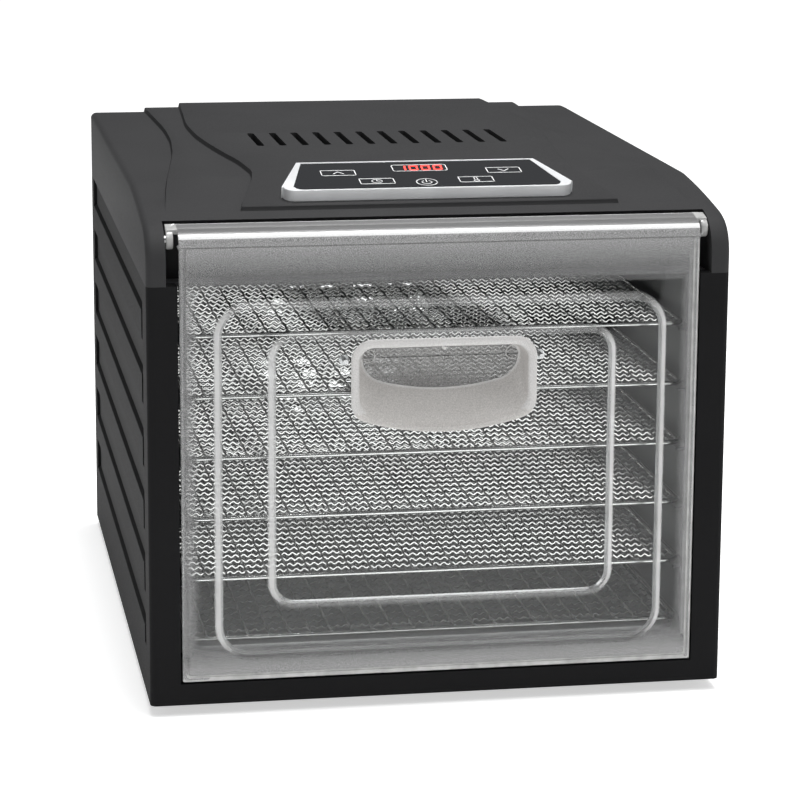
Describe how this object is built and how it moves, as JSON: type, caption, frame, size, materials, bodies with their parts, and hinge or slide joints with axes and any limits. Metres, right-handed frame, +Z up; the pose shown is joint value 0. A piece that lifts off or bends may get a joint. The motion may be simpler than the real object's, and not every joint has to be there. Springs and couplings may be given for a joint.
{
  "type": "food dehydrator",
  "caption": "Box food dehydrator with a lift-up clear door, sliding wire trays over a crumb tray, a rear fan and heater, and a sloping touch control panel on top.",
  "frame": {"origin": "centre of the bounding box's footprint, on the surface the feet stand on", "axes": "+Z up; the door faces -Y; X runs across the width; the shaft of the fan lies along Y"},
  "size_m": [0.345, 0.45, 0.3142],
  "materials": {
    "casing_plastic": "fine-grained satin",
    "cover_plastic": "fine-grained satin",
    "liner_plastic": "smooth satin",
    "liner_sheet": "dark painted sheet",
    "crumb_sheet": "rolled satin sheet",
    "chromed_wire": "bright chromed wire",
    "zinc_steel": "zinc-plated sheet",
    "clear_plastic": "clear, gloss, with frosted bands",
    "frosted_plastic": "frosted, translucent",
    "pin_steel": "bright steel",
    "silver_paint": "satin silver",
    "panel_glass": "black gloss",
    "red_lens": "tinted clear",
    "display_plastic": "moulded",
    "circuit_board": "green solder mask",
    "relay_plastic": "moulded",
    "capacitor_sleeve": "shrink sleeve",
    "terminal_plastic": "moulded",
    "bush_bronze": "sintered bronze",
    "heater_sheath": "heat-darkened sheath",
    "cutoff_ceramic": "unglazed",
    "gland_rubber": "matte",
    "foot_rubber": "matte"
  },
  "bodies": {
    "housing": {"base_tub": "casing_plastic", "left_side_panel": "casing_plastic", "right_side_panel": "casing_plastic", "top_cover": "cover_plastic", "rear_cover": "casing_plastic", "chamber_floor": "liner_sheet", "chamber_ceiling": "liner_sheet", "left_rail_liner": "liner_plastic", "right_rail_liner": "liner_plastic", "rear_baffle": "liner_sheet", "fan_guard": "chromed_wire", "fan_shroud": "zinc_steel", "display_bezel": "silver_paint", "display_glass": "panel_glass", "display_window": "red_lens", "led_display": "display_plastic", "control_board": "circuit_board", "power_board": "circuit_board", "mains_relay": "relay_plastic", "filter_capacitor": "capacitor_sleeve", "terminal_block": "terminal_plastic", "fan_motor": "zinc_steel", "motor_bushes": "bush_bronze", "motor_bracket": "zinc_steel", "heater_element": "heater_sheath", "heater_clips": "zinc_steel", "thermal_cutoff": "cutoff_ceramic", "temperature_probe": "pin_steel", "cord_gland": "gland_rubber", "rubber_feet": "foot_rubber", "rear_screws": "pin_steel", "foot_screws": "pin_steel"},
    "door": {"door_panel": "clear_plastic", "door_handle": "frosted_plastic", "hinge_pins": "pin_steel", "handle_screws": "pin_steel"},
    "rotor": {"fan_impeller": "liner_plastic", "fan_nut": "pin_steel", "motor_shaft": "pin_steel"},
    "crumb_tray": {"crumb_tray": "crumb_sheet"},
    "tray_1": {"tray_1": "chromed_wire"},
    "tray_2": {"tray_2": "chromed_wire"},
    "tray_3": {"tray_3": "chromed_wire"},
    "tray_4": {"tray_4": "chromed_wire"},
    "tray_5": {"tray_5": "chromed_wire"},
    "tray_6": {"tray_6": "chromed_wire"}
  },
  "joints": [
    {"name": "door_swing", "type": "hinge", "parent": "housing", "child": "door", "pos_m": [0, -0.205, 0.283], "axis": [-1, 0, 0], "range_deg": [0, 100]},
    {"name": "fan_spin", "type": "hinge", "parent": "housing", "child": "rotor", "pos_m": [0, 0.178, 0.14555], "axis": [0, 1, 0], "continuous": true},
    {"name": "tray_1_slide", "type": "slide", "parent": "housing", "child": "tray_1", "axis": [0, -1, 0], "range_m": [0, 0.33]},
    {"name": "tray_2_slide", "type": "slide", "parent": "housing", "child": "tray_2", "axis": [0, -1, 0], "range_m": [0, 0.33]},
    {"name": "tray_3_slide", "type": "slide", "parent": "housing", "child": "tray_3", "axis": [0, -1, 0], "range_m": [0, 0.33]},
    {"name": "tray_4_slide", "type": "slide", "parent": "housing", "child": "tray_4", "axis": [0, -1, 0], "range_m": [0, 0.33]},
    {"name": "tray_5_slide", "type": "slide", "parent": "housing", "child": "tray_5", "axis": [0, -1, 0], "range_m": [0, 0.33]},
    {"name": "tray_6_slide", "type": "slide", "parent": "housing", "child": "tray_6", "axis": [0, -1, 0], "range_m": [0, 0.33]},
    {"name": "crumb_tray_slide", "type": "slide", "parent": "housing", "child": "crumb_tray", "axis": [0, -1, 0], "range_m": [0, 0.33]}
  ],
  "couplings": [
    {"joint": "tray_1_slide", "follows": "door_swing", "m_per_rad": 0.07},
    {"joint": "tray_2_slide", "follows": "door_swing", "m_per_rad": 0.12},
    {"joint": "tray_3_slide", "follows": "door_swing", "m_per_rad": 0.16},
    {"joint": "tray_4_slide", "follows": "door_swing", "m_per_rad": 0.189},
    {"joint": "tray_5_slide", "follows": "door_swing", "m_per_rad": 0.189},
    {"joint": "tray_6_slide", "follows": "door_swing", "m_per_rad": 0.189},
    {"joint": "crumb_tray_slide", "follows": "door_swing", "m_per_rad": 0.189}
  ]
}
